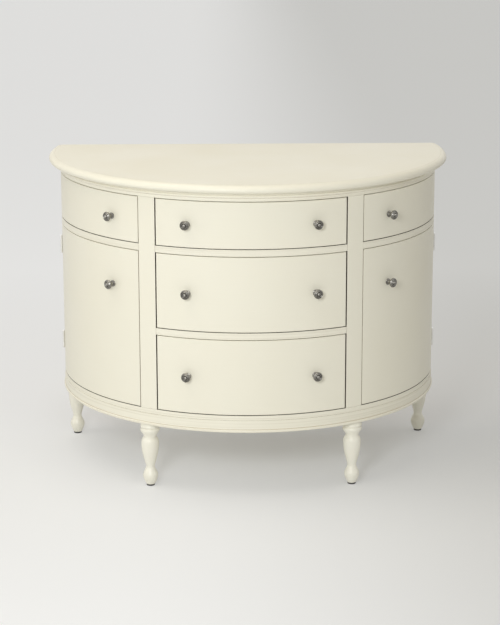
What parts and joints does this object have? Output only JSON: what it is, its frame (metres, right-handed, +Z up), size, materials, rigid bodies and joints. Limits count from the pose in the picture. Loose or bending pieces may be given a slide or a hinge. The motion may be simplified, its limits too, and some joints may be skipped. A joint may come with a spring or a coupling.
{
  "type": "demilune chest of drawers",
  "caption": "Half-round painted chest on turned legs, with curved drawers in the middle and a swinging drawer over a cupboard at each side",
  "frame": {"origin": "centre of the bounding box's bottom, on the floor", "axes": "+X runs to the chest's right as seen from the front, +Y to the wall behind it, and +Z up; the drawers open toward -Y"},
  "size_m": [1.102, 0.651, 0.8396],
  "materials": {
    "cream_paint": "cream paint, satin, rubbed a little along the edges",
    "bare_wood": "pale wood, unpainted",
    "dark_pewter": "dark metal with a dull shine",
    "steel": "plain steel",
    "dark_plastic": "dark and dull"
  },
  "bodies": {
    "carcase": {"top_board": "cream_paint", "top_rail": "cream_paint", "base_moulding": "cream_paint", "bottom_board": "cream_paint", "lower_dust_board": "cream_paint", "upper_dust_board": "cream_paint", "back_panel": "bare_wood", "left_partition": "bare_wood", "left_stile": "cream_paint", "left_back_post": "cream_paint", "left_cupboard_top": "cream_paint", "left_side_drawer_rod": "steel", "left_door_upper_frame_leaf": "steel", "left_door_lower_frame_leaf": "steel", "front_left_leg": "cream_paint", "front_left_glide": "dark_plastic", "back_left_leg": "cream_paint", "back_left_glide": "dark_plastic", "right_partition": "bare_wood", "right_stile": "cream_paint", "right_back_post": "cream_paint", "right_cupboard_top": "cream_paint", "right_side_drawer_rod": "steel", "right_door_upper_frame_leaf": "steel", "right_door_lower_frame_leaf": "steel", "front_right_leg": "cream_paint", "front_right_glide": "dark_plastic", "back_right_leg": "cream_paint", "back_right_glide": "dark_plastic"},
    "lower_drawer": {"lower_drawer_front": "cream_paint", "lower_drawer_box": "bare_wood", "lower_drawer_bottom": "bare_wood", "lower_drawer_left_knob": "dark_pewter", "lower_drawer_right_knob": "dark_pewter"},
    "middle_drawer": {"middle_drawer_front": "cream_paint", "middle_drawer_box": "bare_wood", "middle_drawer_bottom": "bare_wood", "middle_drawer_left_knob": "dark_pewter", "middle_drawer_right_knob": "dark_pewter"},
    "upper_drawer": {"upper_drawer_front": "cream_paint", "upper_drawer_box": "bare_wood", "upper_drawer_bottom": "bare_wood", "upper_drawer_left_knob": "dark_pewter", "upper_drawer_right_knob": "dark_pewter"},
    "left_side_drawer": {"left_side_drawer_front": "cream_paint", "left_side_drawer_tray": "bare_wood", "left_side_drawer_bottom": "bare_wood", "left_side_drawer_knob": "dark_pewter"},
    "left_door_leaf": {"left_door": "cream_paint", "left_door_knob": "dark_pewter", "left_door_upper_door_leaf": "steel", "left_door_lower_door_leaf": "steel"},
    "right_side_drawer": {"right_side_drawer_front": "cream_paint", "right_side_drawer_tray": "bare_wood", "right_side_drawer_bottom": "bare_wood", "right_side_drawer_knob": "dark_pewter"},
    "right_door_leaf": {"right_door": "cream_paint", "right_door_knob": "dark_pewter", "right_door_upper_door_leaf": "steel", "right_door_lower_door_leaf": "steel"}
  },
  "joints": [
    {"name": "lower_drawer_slide", "type": "slide", "parent": "carcase", "child": "lower_drawer", "axis": [0, -1, 0], "range_m": [0, 0.36]},
    {"name": "middle_drawer_slide", "type": "slide", "parent": "carcase", "child": "middle_drawer", "axis": [0, -1, 0], "range_m": [0, 0.36]},
    {"name": "upper_drawer_slide", "type": "slide", "parent": "carcase", "child": "upper_drawer", "axis": [0, -1, 0], "range_m": [0, 0.36]},
    {"name": "left_side_drawer_swing", "type": "hinge", "parent": "carcase", "child": "left_side_drawer", "pos_m": [-0.512, 0.2142, 0.72985], "axis": [0, 0, -1], "range_deg": [0, 75]},
    {"name": "right_side_drawer_swing", "type": "hinge", "parent": "carcase", "child": "right_side_drawer", "pos_m": [0.512, 0.2142, 0.72985], "axis": [0, 0, 1], "range_deg": [0, 75]},
    {"name": "left_door_hinge", "type": "hinge", "parent": "carcase", "child": "left_door_leaf", "pos_m": [-0.5245, 0.2255, 0.4363], "axis": [0, 0, -1], "range_deg": [0, 110]},
    {"name": "right_door_hinge", "type": "hinge", "parent": "carcase", "child": "right_door_leaf", "pos_m": [0.5245, 0.2255, 0.4363], "axis": [0, 0, 1], "range_deg": [0, 110]}
  ]
}
